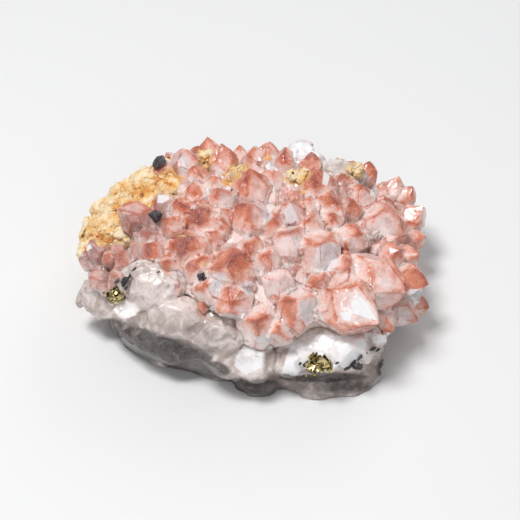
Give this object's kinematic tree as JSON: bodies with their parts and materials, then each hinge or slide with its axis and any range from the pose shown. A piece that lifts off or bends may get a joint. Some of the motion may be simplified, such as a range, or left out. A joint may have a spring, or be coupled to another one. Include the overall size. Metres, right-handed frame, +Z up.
{
  "type": "mineral specimen",
  "caption": "Cluster of hematite-red quartz crystals on a lump of milky quartz, with a yellow limonite crust and small grains of pyrite and dark ore.",
  "frame": {"origin": "middle of the stone's bounding box, at the level of the flat base it stands on", "axes": "+Z up, +Y towards the back, -Y towards the display side in front, +X to the right as seen from the front, along the stone's length"},
  "size_m": [0.106, 0.092, 0.0466],
  "materials": {
    "milky_quartz": "satin",
    "red_quartz": "gloss",
    "limonite": "matte",
    "pyrite": "gloss",
    "dark_ore": "satin"
  },
  "bodies": {
    "root": {"matrix": "milky_quartz", "red_quartz_crystals": "red_quartz", "ochre_crust": "limonite", "ochre_patch_back": "limonite", "ochre_patch_middle": "limonite", "ochre_patch_right": "limonite", "ochre_patch_far_right": "limonite", "pyrite_left": "pyrite", "pyrite_front": "pyrite", "dark_grain_back": "dark_ore", "dark_grain_slope": "dark_ore", "dark_grain_left": "dark_ore", "dark_grain_middle": "dark_ore", "dark_grain_ledge": "dark_ore"}
  },
  "joints": []
}
